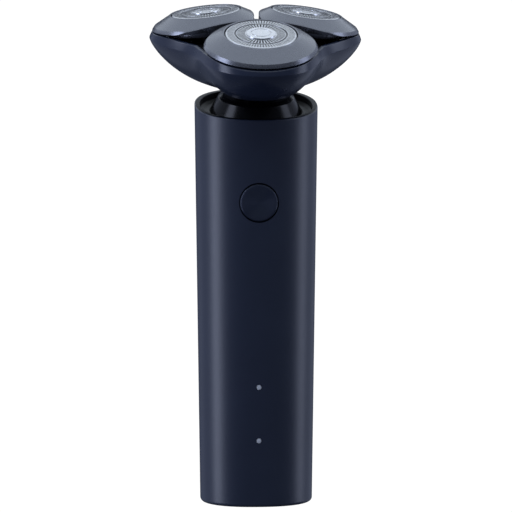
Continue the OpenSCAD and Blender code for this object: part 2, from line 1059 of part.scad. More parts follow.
handle_shell();
base_cap();
base_seal();
charge_socket();
chassis_front();
chassis_rear();
chassis_screws();
battery_cell();
battery_tabs();
circuit_board();
board_components();
tact_switch();
indicator_leds();
light_pipes();
button_seal();
power_button();
motor_can();
motor_end_cap();
motor_mount();
motor_screws();
motor_armature();
motor_shaft();
top_deck();
deck_seal();
neck_post();
neck_screws();
neck_bearing();
shaft_seal();
drive_spindle();
gimbal_ring();
pitch_pins();
head_bowl();
gimbal_cradle();
roll_pins();
cradle_screws();
gear_cover();
cover_screws();
coupler_seals();
sun_gear();
cutter_frame();
retaining_plate();
holding_magnets();
planet_gear(1);  // planet_gear_1
planet_gear(2);  // planet_gear_2
planet_gear(3);  // planet_gear_3
drive_coupler(1);  // drive_coupler_1
drive_coupler(2);  // drive_coupler_2
drive_coupler(3);  // drive_coupler_3
ring_cover(1);  // ring_cover_1
ring_cover(2);  // ring_cover_2
ring_cover(3);  // ring_cover_3
shaving_foil(1);  // shaving_foil_1
shaving_foil(2);  // shaving_foil_2
shaving_foil(3);  // shaving_foil_3
foil_cap(1);  // foil_cap_1
foil_cap(2);  // foil_cap_2
foil_cap(3);  // foil_cap_3
inner_cutter(1);  // inner_cutter_1
inner_cutter(2);  // inner_cutter_2
inner_cutter(3);  // inner_cutter_3
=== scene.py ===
"""Looks of a compact rotary shaver: smooth skins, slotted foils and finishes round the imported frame."""

import json
import math

import bmesh
import bpy
from mathutils import Matrix, Vector


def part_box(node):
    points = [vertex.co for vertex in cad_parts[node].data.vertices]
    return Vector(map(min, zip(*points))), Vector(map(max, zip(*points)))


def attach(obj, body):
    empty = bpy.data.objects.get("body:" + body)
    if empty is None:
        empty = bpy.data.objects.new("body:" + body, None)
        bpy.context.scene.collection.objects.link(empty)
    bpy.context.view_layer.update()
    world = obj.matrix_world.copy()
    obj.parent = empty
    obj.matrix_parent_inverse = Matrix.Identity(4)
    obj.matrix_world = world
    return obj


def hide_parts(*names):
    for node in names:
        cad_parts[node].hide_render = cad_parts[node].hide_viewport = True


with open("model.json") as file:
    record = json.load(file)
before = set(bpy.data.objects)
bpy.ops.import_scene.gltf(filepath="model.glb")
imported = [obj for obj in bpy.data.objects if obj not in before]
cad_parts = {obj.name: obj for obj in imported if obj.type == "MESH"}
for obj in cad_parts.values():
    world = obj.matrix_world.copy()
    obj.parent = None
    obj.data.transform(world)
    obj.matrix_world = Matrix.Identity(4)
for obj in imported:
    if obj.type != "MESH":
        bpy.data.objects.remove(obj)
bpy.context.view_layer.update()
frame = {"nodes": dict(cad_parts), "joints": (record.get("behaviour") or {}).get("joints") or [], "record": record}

MM = 0.001

# ---------------------------------------------------------------- places, from the frame

joints = {j["name"]: j for j in frame["joints"]}
UNITS = (1, 2, 3)


def joint_point(name):
    return Vector(joints[name]["pos_m"]) / MM


def joint_axis(name):
    return Vector(joints[name]["axis"]).normalized()


def frame_matrix(origin, x_axis, z_axis):
    """Matrix from a local frame in millimetres to the row frame in metres."""
    z = z_axis.normalized()
    y = z.cross(x_axis).normalized()
    x = y.cross(z)
    turn = Matrix((x, y, z)).transposed().to_4x4()
    return Matrix.Scale(MM, 4) @ Matrix.Translation(origin) @ turn


unit_points = [joint_point(f"cutter_{i}_spin") for i in UNITS]
head_origin = sum(unit_points, Vector()) / 3
head_axis = joint_axis("spindle_spin")
LEAN = math.atan2(-head_axis.y, head_axis.z)
HEAD = frame_matrix(head_origin, Vector((1, 0, 0)), head_axis)
UNIT_R = (unit_points[0] - head_origin).length
UNIT_TILT = joint_axis("cutter_1_spin").angle(head_axis)
UNIT_FRAMES = [
    frame_matrix(p, p - head_origin, joint_axis(f"cutter_{i}_spin"))
    for i, p in zip(UNITS, unit_points)
]

# ---------------------------------------------------------------- sizes in millimetres

FOOT_HALF_W = 17.4
MOUTH_HALF_W = 19.1
MOUTH_Z = 123.6
MOUTH_BACK = 0.8
DEPTH_SHARE = 0.856
CORNER_POWER = 2.3
WALL = 1.7
FOIL_H = 26.7
LOBE_R = 17.4
BOWL_WIDE = -8.2
BOWL_FLOOR = -21.8
BOWL_FLOOR_IN = -20.6
BOWL_FOOT_R = 7.2
BOWL_MOUTH_R = 6.4
BOWL_EDGE = 4.45
COVER_R = 17.1
COVER_EDGE = -3.85
FOIL_R = 10.65
CAP_R = 4.35
BUTTON_Z = 92.6
BUTTON_R = 5.7
BUTTON_GAP = 0.32
LIGHT_R = 0.8
LIGHT_GAP = 0.05
LIGHT_Z = (20.4, 36.7)

# ---------------------------------------------------------------- mesh helpers


LATHE_CREASE = 40
CUT_CREASE = 35
BOWL_CREASE = 60
MERGE_DISTANCE = 1e-7


def smooth_shading(bm, crease):
    """Shades every face smooth and keeps the edges that are sharper than crease degrees."""
    for e in bm.edges:
        e.smooth = len(e.link_faces) == 2 and e.calc_face_angle(0) < math.radians(crease)
    for f in bm.faces:
        f.smooth = True


def link_object(name, data):
    obj = bpy.data.objects.new(name, data)
    bpy.context.scene.collection.objects.link(obj)
    return obj


def make_object(name, verts, faces, matrix, materials, crease=LATHE_CREASE):
    """A smooth mesh from points in a local frame, with edges sharper than crease degrees kept."""
    mesh = bpy.data.meshes.new(name)
    mesh.from_pydata([matrix @ Vector(v) for v in verts], [], faces)
    bm = bmesh.new()
    bm.from_mesh(mesh)
    bmesh.ops.remove_doubles(bm, verts=bm.verts, dist=MERGE_DISTANCE)
    bmesh.ops.recalc_face_normals(bm, faces=bm.faces)
    smooth_shading(bm, crease)
    bm.to_mesh(mesh)
    bm.free()
    for m in materials:
        mesh.materials.append(m)
    return link_object(name, mesh)


def grid_faces(rows, columns, close_rows=False):
    """Quads between closed rings of points stored one ring after another."""
    faces = []
    for j in range(rows if close_rows else rows - 1):
        for i in range(columns):
            j2, i2 = (j + 1) % rows, (i + 1) % columns
            faces.append((j * columns + i, j * columns + i2, j2 * columns + i2, j2 * columns + i))
    return faces


def ring_skin(name, rings, matrix, materials, crease=LATHE_CREASE):
    """A closed skin over equal rings of points, with the last joined back to the first."""
    verts = [p for ring in rings for p in ring]
    faces = grid_faces(len(rings), len(rings[0]), close_rows=True)
    return make_object(name, verts, faces, matrix, materials, crease)


MOST_OF_AN_EDGE = 0.48


def soften(points, radii, steps=5):
    """A polyline with each corner rounded; radii holds one radius per point, 0 to keep it sharp."""
    out = []
    n = len(points)
    for k, (p, r) in enumerate(zip(points, radii)):
        if r == 0 or k in (0, n - 1):
            out.append(Vector(p))
            continue
        here, before, after = Vector(p), Vector(points[k - 1]), Vector(points[k + 1])
        a, b = (before - here).normalized(), (after - here).normalized()
        half = a.angle(b) / 2
        shorter = min((before - here).length, (after - here).length)
        reach = min(r / math.tan(half), MOST_OF_AN_EDGE * shorter)
        start, end = here + a * reach, here + b * reach
        for s in range(steps + 1):
            t = s / steps
            out.append(start.lerp(here, t).lerp(here.lerp(end, t), t))
    return out


def lathe(name, profile, matrix, materials, segments=160):
    """A profile of (radius, height) points turned round the local Z axis."""
    verts = [
        (p[0] * math.cos(a), p[0] * math.sin(a), p[1])
        for p in profile
        for a in (math.tau * i / segments for i in range(segments))
    ]
    return make_object(name, verts, grid_faces(len(profile), segments), matrix, materials)


def apply_modifiers(obj):
    """Replaces an object's mesh with what its modifiers make of it."""
    dg = bpy.context.evaluated_depsgraph_get()
    mesh = bpy.data.meshes.new_from_object(obj.evaluated_get(dg))
    obj.modifiers.clear()
    obj.data = mesh


def mark_edges(obj):
    """Shades a mesh again after a cut."""
    bm = bmesh.new()
    bm.from_mesh(obj.data)
    smooth_shading(bm, CUT_CREASE)
    bm.to_mesh(obj.data)
    bm.free()


def finish_piece(obj, body, slot, *nodes):
    """Evens the shading, attaches the piece to the body it moves with and hides the CAD nodes it stands for."""
    even = obj.modifiers.new("even_normals", "WEIGHTED_NORMAL")
    even.keep_sharp = True
    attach(obj, body)
    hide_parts(*nodes)


# ---------------------------------------------------------------- materials


def new_material(name, color, rough, metallic=0.0, ior=1.5, specular=0.5):
    """A Principled material with its even values set on the shader itself."""
    mat = bpy.data.materials.new(name)
    mat.use_nodes = True
    shader = mat.node_tree.nodes["Principled BSDF"]
    shader.inputs["Base Color"].default_value = (*color, 1)
    shader.inputs["Roughness"].default_value = rough
    shader.inputs["Metallic"].default_value = metallic
    shader.inputs["IOR"].default_value = ior
    shader.inputs["Specular IOR Level"].default_value = specular
    return mat


def noise(mat, scale, detail=4.0, stretch=(1, 1, 1)):
    """A noise value in object space, with stretch to draw it out along an axis."""
    tree = mat.node_tree
    coords = tree.nodes.new("ShaderNodeTexCoord")
    mapping = tree.nodes.new("ShaderNodeMapping")
    mapping.inputs["Scale"].default_value = stretch
    texture = tree.nodes.new("ShaderNodeTexNoise")
    texture.inputs["Scale"].default_value = scale
    texture.inputs["Detail"].default_value = detail
    tree.links.new(coords.outputs["Object"], mapping.inputs["Vector"])
    tree.links.new(mapping.outputs["Vector"], texture.inputs["Vector"])
    return texture.outputs["Fac"]


NOISE_LOW, NOISE_HIGH = 0.3, 0.7


def vary_color(mat, fac, low, high):
    """Lets the base colour drift between two colours with a noise value."""
    tree = mat.node_tree
    ramp = tree.nodes.new("ShaderNodeValToRGB")
    ramp.color_ramp.elements[0].position = NOISE_LOW
    ramp.color_ramp.elements[1].position = NOISE_HIGH
    ramp.color_ramp.elements[0].color = (*low, 1)
    ramp.color_ramp.elements[1].color = (*high, 1)
    tree.links.new(fac, ramp.inputs["Fac"])
    tree.links.new(ramp.outputs["Color"], tree.nodes["Principled BSDF"].inputs["Base Color"])


def vary_roughness(mat, fac, low, high):
    """Lets the roughness drift between two values with a noise value."""
    tree = mat.node_tree
    spread = tree.nodes.new("ShaderNodeMapRange")
    spread.inputs["From Min"].default_value = NOISE_LOW
    spread.inputs["From Max"].default_value = NOISE_HIGH
    spread.inputs["To Min"].default_value = low
    spread.inputs["To Max"].default_value = high
    tree.links.new(fac, spread.inputs["Value"])
    tree.links.new(spread.outputs["Result"], tree.nodes["Principled BSDF"].inputs["Roughness"])


def add_bump(mat, fac, strength, distance):
    """Raises a fine grain; distance is its depth in metres."""
    tree = mat.node_tree
    bump = tree.nodes.new("ShaderNodeBump")
    bump.inputs["Strength"].default_value = strength
    bump.inputs["Distance"].default_value = distance
    tree.links.new(fac, bump.inputs["Height"])
    tree.links.new(bump.outputs["Normal"], tree.nodes["Principled BSDF"].inputs["Normal"])


def satin_navy():
    """The handle's satin paint, with a fine grain in its gloss."""
    mat = new_material("satin_navy_paint", (0.018, 0.025, 0.048), 0.38, ior=1.55)
    fine = noise(mat, 2600, 3)
    vary_color(mat, noise(mat, 60, 5), (0.0135, 0.0195, 0.040), (0.0165, 0.0235, 0.046))
    vary_roughness(mat, fine, 0.35, 0.41)
    add_bump(mat, fine, 0.05, 0.00002)
    return mat


def spun_navy():
    """Navy with fine rings turned into it, so that it shines in a bow across its middle."""
    mat = new_material("button_navy", (0.02, 0.027, 0.05), 0.42, metallic=0.4, ior=1.55)
    tree = mat.node_tree
    shader = tree.nodes["Principled BSDF"]
    shader.inputs["Anisotropic"].default_value = 0.85
    shader.inputs["Anisotropic Rotation"].default_value = 0.25
    tangent = tree.nodes.new("ShaderNodeTangent")
    tangent.direction_type = "RADIAL"
    tangent.axis = "Y"
    tree.links.new(tangent.outputs["Tangent"], shader.inputs["Tangent"])
    vary_color(mat, noise(mat, 60, 4), (0.017, 0.024, 0.046), (0.021, 0.029, 0.054))
    vary_roughness(mat, noise(mat, 1500, 3), 0.39, 0.45)
    return mat


def lacquer(name, low, high, rough, specular=0.5):
    """A smooth paint whose gloss is barely uneven."""
    mat = new_material(name, high, rough, specular=specular)
    vary_color(mat, noise(mat, 35, 4), low, high)
    vary_roughness(mat, noise(mat, 300, 4), rough * 0.94, rough * 1.06)
    return mat


def titanium():
    """A metallic lacquer with fine flakes."""
    mat = new_material("titanium_lacquer", (0.165, 0.172, 0.195), 0.27, metallic=0.85)
    fine = noise(mat, 3200, 3)
    vary_color(mat, fine, (0.155, 0.161, 0.183), (0.175, 0.183, 0.208))
    vary_roughness(mat, noise(mat, 400, 4), 0.25, 0.29)
    add_bump(mat, fine, 0.06, 0.00002)
    return mat


def steel(name, low, high, rough):
    """Bare metal, with its roughness drawn out along one axis."""
    mat = new_material(name, high, rough, metallic=1.0)
    vary_color(mat, noise(mat, 700, 4), low, high)
    vary_roughness(mat, noise(mat, 1500, 4, (1, 1, 6)), rough * 0.8, rough * 1.25)
    return mat


def moulded(name, low, high, rough, specular=0.5):
    """Moulded plastic or rubber with a slight grain."""
    mat = new_material(name, high, rough, specular=specular)
    grain = noise(mat, 1200, 3)
    vary_color(mat, noise(mat, 80, 4), low, high)
    vary_roughness(mat, grain, rough * 0.85, rough * 1.15)
    add_bump(mat, grain, 0.15, 0.00003)
    return mat


HANDLE_PAINT = satin_navy()
BOWL_PAINT = lacquer("piano_navy", (0.014, 0.020, 0.041), (0.018, 0.025, 0.048), 0.26)
BUTTON_PAINT = spun_navy()
BLACK_GLOSS = lacquer("black_gloss", (0.0012, 0.0012, 0.0016), (0.002, 0.002, 0.0026), 0.2, 0.22)
BLACK_SATIN = lacquer("black_satin", (0.0018, 0.002, 0.0026), (0.003, 0.0033, 0.0042), 0.36, 0.12)
TITANIUM = titanium()
FOIL_STEEL = steel("foil_steel", (0.50, 0.51, 0.53), (0.62, 0.63, 0.65), 0.27)
CAP_STEEL = steel("cap_steel", (0.64, 0.65, 0.67), (0.7, 0.71, 0.73), 0.24)
# Steel darkened to about half of bare steel's brightness: painted shade for the cutters and pins inside the head,
# and for the groove between the foil's tracks.
SHADE_DARKENED_STEEL = steel("shade_darkened_steel", (0.15, 0.155, 0.165), (0.22, 0.225, 0.235), 0.35)
LIGHT_PIPE = moulded("light_pipe", (0.5, 0.525, 0.58), (0.56, 0.585, 0.64), 0.4)
INNER_BLACK = moulded("inner_plastic", (0.0025, 0.0025, 0.003), (0.004, 0.004, 0.005), 0.55, 0.12)
NYLON = moulded("nylon", (0.62, 0.6, 0.53), (0.72, 0.7, 0.64), 0.42)
RUBBER = moulded("rubber", (0.008, 0.008, 0.008), (0.014, 0.014, 0.014), 0.7)
BRASS = steel("brass", (0.5, 0.34, 0.12), (0.62, 0.44, 0.17), 0.3)
BOARD = moulded("board", (0.004, 0.05, 0.022), (0.008, 0.075, 0.035), 0.38)
CELL_WRAP = moulded("cell_wrap", (0.02, 0.08, 0.2), (0.03, 0.11, 0.26), 0.3)

SLOT_MATERIALS = {
    "handle_satin": HANDLE_PAINT,
    "piano_navy": BOWL_PAINT,
    "gloss_black": BLACK_GLOSS,
    "inner_plastic": INNER_BLACK,
    "cover_titanium": TITANIUM,
    "foil_steel": FOIL_STEEL,
    "cap_chrome": CAP_STEEL,
    "light_pipe": LIGHT_PIPE,
    "steel": SHADE_DARKENED_STEEL,
    "rubber": RUBBER,
    "nylon": NYLON,
    "brass": BRASS,
    "board": BOARD,
    "cell_wrap": CELL_WRAP,
}


def paint_frame():
    """Every CAD node takes the material of its slot in the record."""
    slots = {s["node"]: s["material_slot"] for s in frame["record"]["subparts"]}
    for name, obj in frame["nodes"].items():
        obj.data.materials.clear()
        obj.data.materials.append(SLOT_MATERIALS[slots[name]])


# ---------------------------------------------------------------- handle

TAPER = (MOUTH_HALF_W - FOOT_HALF_W) / MOUTH_Z
SLOPE = math.tan(LEAN)


def half_width(z):
    """Half of the handle's width at a height."""
    return FOOT_HALF_W + TAPER * z


def tube_point(turn, z, inset):
    """A point of the handle's superellipse section at a height, shrunk by inset."""
    c, s = math.cos(turn), math.sin(turn)
    a = half_width(z) - inset
    b = DEPTH_SHARE * half_width(z) - inset
    x = a * math.copysign(abs(c) ** (2 / CORNER_POWER), c)
    y = b * math.copysign(abs(s) ** (2 / CORNER_POWER), s)
    return x, y


def slanted_point(turn, inset, drop):
    """The same on a plane that lies drop below the slanted mouth, found by a few steps."""
    z = MOUTH_Z
    for _ in range(5):
        x, y = tube_point(turn, z, inset)
        z = MOUTH_Z + (y - MOUTH_BACK) * SLOPE - drop / math.cos(LEAN)
    return x, y, z


SECTION_TURNS = 288
FOOT_ROUND = 1.1
RIM_ROUND = 0.35
RIM_INNER_ROUND = 0.3
WELL_DEPTH = 4.2
STRAIGHT_TOP = 105
FOOT_RECESS = 2.0
BODY_RINGS = 24
SHOULDER_RINGS = 7
BORE_RINGS = 8
BLACK_RIM_SHARE = 0.3


def section_turns():
    """The turns of the points round one section of the handle."""
    return [math.tau * i / SECTION_TURNS for i in range(SECTION_TURNS)]


def arc_shares(steps):
    """Pairs (sine, cosine) along a quarter turn."""
    turns = [math.pi / 2 * k / steps for k in range(steps + 1)]
    return [(math.sin(a), math.cos(a)) for a in turns]


def level_ring(z, inset):
    return [(*tube_point(t, z, inset), z) for t in section_turns()]


def slanted_ring(inset, drop):
    return [slanted_point(t, inset, drop) for t in section_turns()]


def blended_ring(low, high, share, inset):
    """A ring between two others, pulled back onto the handle's taper."""
    ring = []
    for turn, p, q in zip(section_turns(), low, high):
        z = p[2] + (q[2] - p[2]) * share
        ring.append((*tube_point(turn, z, inset), z))
    return ring


def handle_rings():
    """Rings up the outside, over the rim, down the well and back down the inside of the wall."""
    rings = [level_ring(0, WALL + 0.05)]
    for s, c in arc_shares(6):
        rings.append(level_ring(FOOT_ROUND * (1 - c), FOOT_ROUND * (1 - s)))
    for k in range(1, BODY_RINGS + 1):
        rings.append(level_ring(FOOT_ROUND + (STRAIGHT_TOP - FOOT_ROUND) * k / BODY_RINGS, 0))
    shoulder, edge = rings[-1], slanted_ring(0, RIM_ROUND)
    for k in range(1, SHOULDER_RINGS):
        rings.append(blended_ring(shoulder, edge, k / SHOULDER_RINGS, 0))
    for s, c in arc_shares(5):
        rings.append(slanted_ring(RIM_ROUND * (1 - c), RIM_ROUND * (1 - s)))
    for s, c in arc_shares(5):
        rings.append(slanted_ring(WALL - RIM_INNER_ROUND * (1 - s), RIM_INNER_ROUND * (1 - c)))
    rings.append(slanted_ring(WALL, WELL_DEPTH))
    well, foot = rings[-1], level_ring(FOOT_RECESS, WALL)
    for k in range(1, BORE_RINGS + 1):
        rings.append(blended_ring(well, foot, k / BORE_RINGS, WALL))
    return rings


def paint_well(mesh):
    """The rim's inner part and everything inside it are black."""
    middle = WALL * BLACK_RIM_SHARE
    for p in mesh.polygons:
        x, y, z = Vector(p.center) / MM
        a = half_width(z) - middle
        b = DEPTH_SHARE * half_width(z) - middle
        inside = (abs(x) / a) ** CORNER_POWER + (abs(y) / b) ** CORNER_POWER < 1
        if inside and z > FOOT_RECESS:
            p.material_index = 1


def cut_away(obj, bm, material):
    """Subtracts the closed form held in bm from obj and lines the cut with a material."""
    mesh = bpy.data.meshes.new("cutter")
    bm.to_mesh(mesh)
    bm.free()
    mesh.materials.append(material)
    cutter = link_object("cutter", mesh)
    cut = obj.modifiers.new("cut", "BOOLEAN")
    cut.operation = "DIFFERENCE"
    cut.solver = "EXACT"
    cut.object = cutter
    cut.material_mode = "TRANSFER"
    apply_modifiers(obj)
    bpy.data.objects.remove(cutter)


def cut_hole(obj, radius, z):
    """Cuts a round hole through the handle's front wall."""
    bm = bmesh.new()
    wall = Matrix.Translation((0, -DEPTH_SHARE * half_width(z) * MM, z * MM))
    bmesh.ops.create_cone(
        bm, cap_ends=True, segments=128, radius1=radius * MM, radius2=radius * MM, depth=4 * WALL * MM,
        matrix=wall @ Matrix.Rotation(math.pi / 2, 4, "X"))
    cut_away(obj, bm, BLACK_SATIN)


def add_handle():
    """The tapered tube, with its mouth, its inside and the holes for the button and the lights."""
    obj = ring_skin("handle_skin", handle_rings(), Matrix.Scale(MM, 4), [HANDLE_PAINT, BLACK_SATIN])
    paint_well(obj.data)
    cut_hole(obj, BUTTON_R + BUTTON_GAP, BUTTON_Z)
    for z in LIGHT_Z:
        cut_hole(obj, LIGHT_R + LIGHT_GAP, z)
    mark_edges(obj)
    finish_piece(obj, "handle", "handle_satin", "handle_shell")


BUTTON_FACE = DEPTH_SHARE * half_width(BUTTON_Z) - 0.05
BUTTON_T = 2.5
BUTTON_DISH = 0.3
BUTTON_EDGE = 0.95
FLANGE_OUT = 0.8
FLANGE_T = 0.8
FLANGE_EDGE = 0.15
STEM_R = 1.5
AXIS_R = 0.0001
DISH_STEPS = 12


def front_frame(z, reach):
    """A frame on the handle's front whose own Z points out at the viewer."""
    return frame_matrix(Vector((0, -reach, z)), Vector((1, 0, 0)), Vector((0, -1, 0)))


def depth_behind(node, reach):
    """Height, in the front frame, of a CAD node's inner end."""
    return -(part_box(node)[1].y / MM + reach)


def add_button():
    """A dished round cap with a soft edge, a flange behind the wall and a stem."""
    dish = [
        (BUTTON_R * k / DISH_STEPS, -BUTTON_DISH + BUTTON_DISH * (k / DISH_STEPS) ** 2)
        for k in range(DISH_STEPS - 2)
    ]
    low = depth_behind("power_button", BUTTON_FACE)
    back = -BUTTON_T - 0.1
    flange_r = BUTTON_R + FLANGE_OUT
    outline = soften(
        [dish[-1], (BUTTON_R, -0.02), (BUTTON_R, back), (flange_r, back), (flange_r, -BUTTON_T - FLANGE_T),
         (STEM_R, -BUTTON_T - FLANGE_T), (STEM_R, low), (AXIS_R, low)],
        [0, BUTTON_EDGE, 0, FLANGE_EDGE, FLANGE_EDGE, 0, FLANGE_EDGE, 0])
    profile = dish[:-1] + [tuple(p) for p in outline]
    obj = lathe("button_cap", profile, front_frame(BUTTON_Z, BUTTON_FACE), [BUTTON_PAINT])
    finish_piece(obj, "power_button", "piano_navy", "power_button")


LENS_STEPS = 6
LENS_TURNS = 64
LENS_DOME_R = 0.85 * LIGHT_R
LENS_DOME = 0.05


def add_light_pipes():
    """Two small frosted lenses, slightly domed and flush with the handle."""
    for name, z in zip(("light_pipe_low", "light_pipe_high"), LIGHT_Z):
        reach = DEPTH_SHARE * half_width(z)
        dome = [
            (LENS_DOME_R * k / LENS_STEPS, -0.02 - LENS_DOME * (k / LENS_STEPS) ** 2)
            for k in range(LENS_STEPS + 1)
        ]
        low = depth_behind("light_pipes", reach)
        side = soften([dome[-1], (LIGHT_R, -0.12), (LIGHT_R, low), (AXIS_R, low)], [0, 0.1, 0.1, 0])
        profile = dome[:-1] + [tuple(p) for p in side]
        obj = lathe(name, profile, front_frame(z, reach), [LIGHT_PIPE], LENS_TURNS)
        finish_piece(obj, "handle", "light_pipe", "light_pipes")


# ---------------------------------------------------------------- neck

DECK_DROP = 2.0
DECK_T = 1.5
CONE_R = 14.3
CONE_TOP_R = 11.8
CONE_RISE = 3.2
CONE_Y = -1.2
CONE_BORE = 2.9
CONE_FOOT = 1.4
GIMBAL = (joint_point("head_pitch") - head_origin).dot(head_axis)
CUP_TOP = GIMBAL + 1.6
CUP_FLOOR = GIMBAL - 2.4
CUP_FOOT = GIMBAL - 8
CUP_R = 4.9
CUP_BORE = 3.75
CUP_NECK = 2.3
TUBE_BORE = 1.65


def add_neck():
    """A flared gloss cone that sits forward of the axis, and the tube and cup of the gimbal."""
    mouth = -FOIL_H
    deck = mouth - DECK_DROP
    low = deck - DECK_T - CONE_FOOT
    top = mouth + CONE_RISE
    profile = soften(
        [(CONE_BORE, low), (CONE_R, low), (CONE_R, deck), (CONE_TOP_R, top - 0.8),
         (CONE_TOP_R - 1.4, top), (CUP_R - 2, top), (CUP_R - 2, top - 1), (CONE_BORE, low)],
        [0, 0, 0.8, 0.7, 0.4, 0, 0, 0])
    cone_place = HEAD @ Matrix.Translation((0, CONE_Y, 0))
    obj = lathe("neck_cone", [tuple(p) for p in profile], cone_place, [BLACK_GLOSS])
    finish_piece(obj, "handle", "gloss_black", "neck_post")
    cup = soften(
        [(TUBE_BORE, top - 1), (CUP_R, top - 1), (CUP_R, CUP_TOP), (CUP_BORE, CUP_TOP),
         (CUP_BORE, CUP_FLOOR), (CUP_NECK, CUP_FLOOR), (CUP_NECK, CUP_FOOT),
         (TUBE_BORE, CUP_FOOT), (TUBE_BORE, top - 1)],
        [0, 0, 0.3, 0.2, 0, 0, 0, 0, 0])
    obj = lathe("neck_cup", [tuple(p) for p in cup], HEAD, [BLACK_GLOSS])
    finish_piece(obj, "handle", "gloss_black", "neck_post")


def add_deck():
    """The black plate round the neck, with a raised soft edge where it meets the wall."""
    inner_r = CONE_R + 0.1

    def circle_point(turn, depth):
        side, ahead = inner_r * math.cos(turn), inner_r * math.sin(turn) + CONE_Y
        return tuple(HEAD @ Vector((side, ahead, -FOIL_H - depth)) / MM)

    def mixed(share, depth, inset):
        return [
            tuple(Vector(slanted_point(t, inset, depth)).lerp(Vector(circle_point(t, depth)), share))
            for t in section_turns()
        ]

    edge = WALL + 0.1
    rings = [
        mixed(0, DECK_DROP - 0.35, edge), mixed(0, DECK_DROP - 0.32, edge + 0.12),
        mixed(0.2, DECK_DROP - 0.08, edge + 0.1), mixed(0.4, DECK_DROP, edge), mixed(0.7, DECK_DROP, edge),
        mixed(0.98, DECK_DROP, edge), mixed(1, DECK_DROP + 0.05, edge), mixed(1, DECK_DROP + DECK_T, edge),
        mixed(0, DECK_DROP + DECK_T, edge),
    ]
    obj = ring_skin("mouth_deck", rings, Matrix.Scale(MM, 4), [BLACK_SATIN])
    finish_piece(obj, "handle", "gloss_black", "top_deck")


# ---------------------------------------------------------------- head

LOBE_STATIONS = 288
SIDE_START = math.radians(22)
SIDE_PULL = 3.0
SIDE_DIP = 2.0
FLOOR_POWER = 1.33
REACH_POWER = 0.36
LOBE_POWER = 0.62
RING_SPREAD = 1.6


def lobe_reach(a, r_pos, r):
    """Distance from the axis of an outline of three round lobes and straight sides, at a from a lobe."""
    a = abs(a)
    if a < math.atan2(r * math.sin(math.pi / 3), r_pos + r / 2):
        return r_pos * math.cos(a) + math.sqrt(r * r - (r_pos * math.sin(a)) ** 2)
    return (r_pos / 2 + r) / math.cos(math.pi / 3 - a)


def side_share(a):
    """How far towards the middle of a side a direction lies: 0 on the lobes, 1 half-way between them."""
    near = max(0.0, (abs(a) - SIDE_START) / (math.pi / 3 - SIDE_START))
    return (1 - math.cos(math.pi * near)) / 2


def roof(a, reach):
    """Height of the bowl's edge, a little below the three tilted planes that the covers lie in."""
    return -BOWL_EDGE - (reach * math.cos(a) - UNIT_R) * math.tan(UNIT_TILT)


def bowl_side(t, r_low, r_high, floor):
    """Lobe distance, lobe radius and height of a ring, from the widest level, t 0, to the floor, t 1."""
    keep = max(0.0, 1 - t**FLOOR_POWER)
    level = BOWL_WIDE + (floor - BOWL_WIDE) * t
    return UNIT_R * keep**REACH_POWER, r_low + (r_high - r_low) * keep**LOBE_POWER, level, 0


def lobed_ring(r_pos, r, level, on_roof):
    """One ring of the bowl; on_roof blends its height from a level to that of the edge."""
    ring = []
    for k in range(LOBE_STATIONS):
        turn = math.tau * k / LOBE_STATIONS
        a = (turn + math.pi / 3) % (math.tau / 3) - math.pi / 3
        reach = r if r_pos == 0 else lobe_reach(a, r_pos, r)
        reach -= SIDE_PULL * side_share(a) * r_pos / UNIT_R
        z = level * (1 - on_roof) + (roof(a, reach) - SIDE_DIP * side_share(a)) * on_roof
        around = turn - math.pi / 2
        ring.append((reach * math.cos(around), reach * math.sin(around), z))
    return ring


BOWL_WALL = 1.4
SHOULDER_LEAN = 0.75
SHOULDER_SHARES = (0.05, 0.2, 0.4, 0.6, 0.8, 0.9)
OUTER_RINGS = 30
INNER_RINGS = 16


def add_bowl():
    """Lobed bowl: rounded below, a crease at its widest level and a leaning shoulder above it."""
    spread = [1 - (1 - k / OUTER_RINGS) ** RING_SPREAD for k in range(OUTER_RINGS, -1, -1)]
    rows = [(0, BOWL_MOUTH_R, BOWL_FLOOR, 0), (0, BOWL_FOOT_R - 0.3, BOWL_FLOOR, 0)]
    rows += [bowl_side(t, BOWL_FOOT_R, LOBE_R, BOWL_FLOOR) for t in spread if t < 0.999]
    for share in SHOULDER_SHARES:
        lean = SHOULDER_LEAN * (0.75 * share + 0.25 * share**2)
        rows.append((UNIT_R, LOBE_R - lean, BOWL_WIDE, share))
    top = LOBE_R - SHOULDER_LEAN
    rows += [(UNIT_R, top - 0.02, BOWL_WIDE, 0.97), (UNIT_R, top - 0.12, BOWL_WIDE, 1)]
    inner = top - BOWL_WALL + 0.45
    rows += [(UNIT_R, inner, BOWL_WIDE, 1), (UNIT_R, inner - 0.06, BOWL_WIDE, 0.95)]
    rows += [bowl_side(t, BOWL_FOOT_R - 0.2, LOBE_R - BOWL_WALL, BOWL_FLOOR_IN)
             for t in [k / INNER_RINGS for k in range(INNER_RINGS)]]
    rows.append((0, BOWL_MOUTH_R, BOWL_FLOOR_IN, 0))
    rings = [lobed_ring(*row) for row in rows]
    obj = ring_skin("bowl_skin", rings, HEAD, [BOWL_PAINT], BOWL_CREASE)
    finish_piece(obj, "head_base", "piano_navy", "head_bowl")


WEB_LEVEL = -6.8
WEB_BOX = (10, 40, 13, WEB_LEVEL, 3.2)
FRAME_RIM_BOX = (21.4, 41.4, 17, -20, 20)
COVER_RIM_BOX = (20.6, 40.6, 17, -20, 20)


def add_trimmed(name, node, body, slot, boxes):
    """A copy of a CAD node, cut by boxes (near, far, half width, low, high) at the bowl's three sides."""
    mesh = frame["nodes"][node].data.copy()
    mesh.materials.clear()
    mesh.materials.append(INNER_BLACK)
    obj = link_object(name, mesh)
    for k in range(3):
        along = HEAD @ Matrix.Rotation(math.radians(90 + 120 * k), 4, "Z")
        for near, far, half, low, high in boxes:
            middle = Matrix.Translation(((near + far) / 2, 0, (low + high) / 2))
            size = Matrix.Diagonal((far - near, 2 * half, high - low, 1))
            bm = bmesh.new()
            bmesh.ops.create_cube(bm, size=1, matrix=along @ middle @ size)
            cut_away(obj, bm, INNER_BLACK)
    mark_edges(obj)
    finish_piece(obj, body, slot, node)


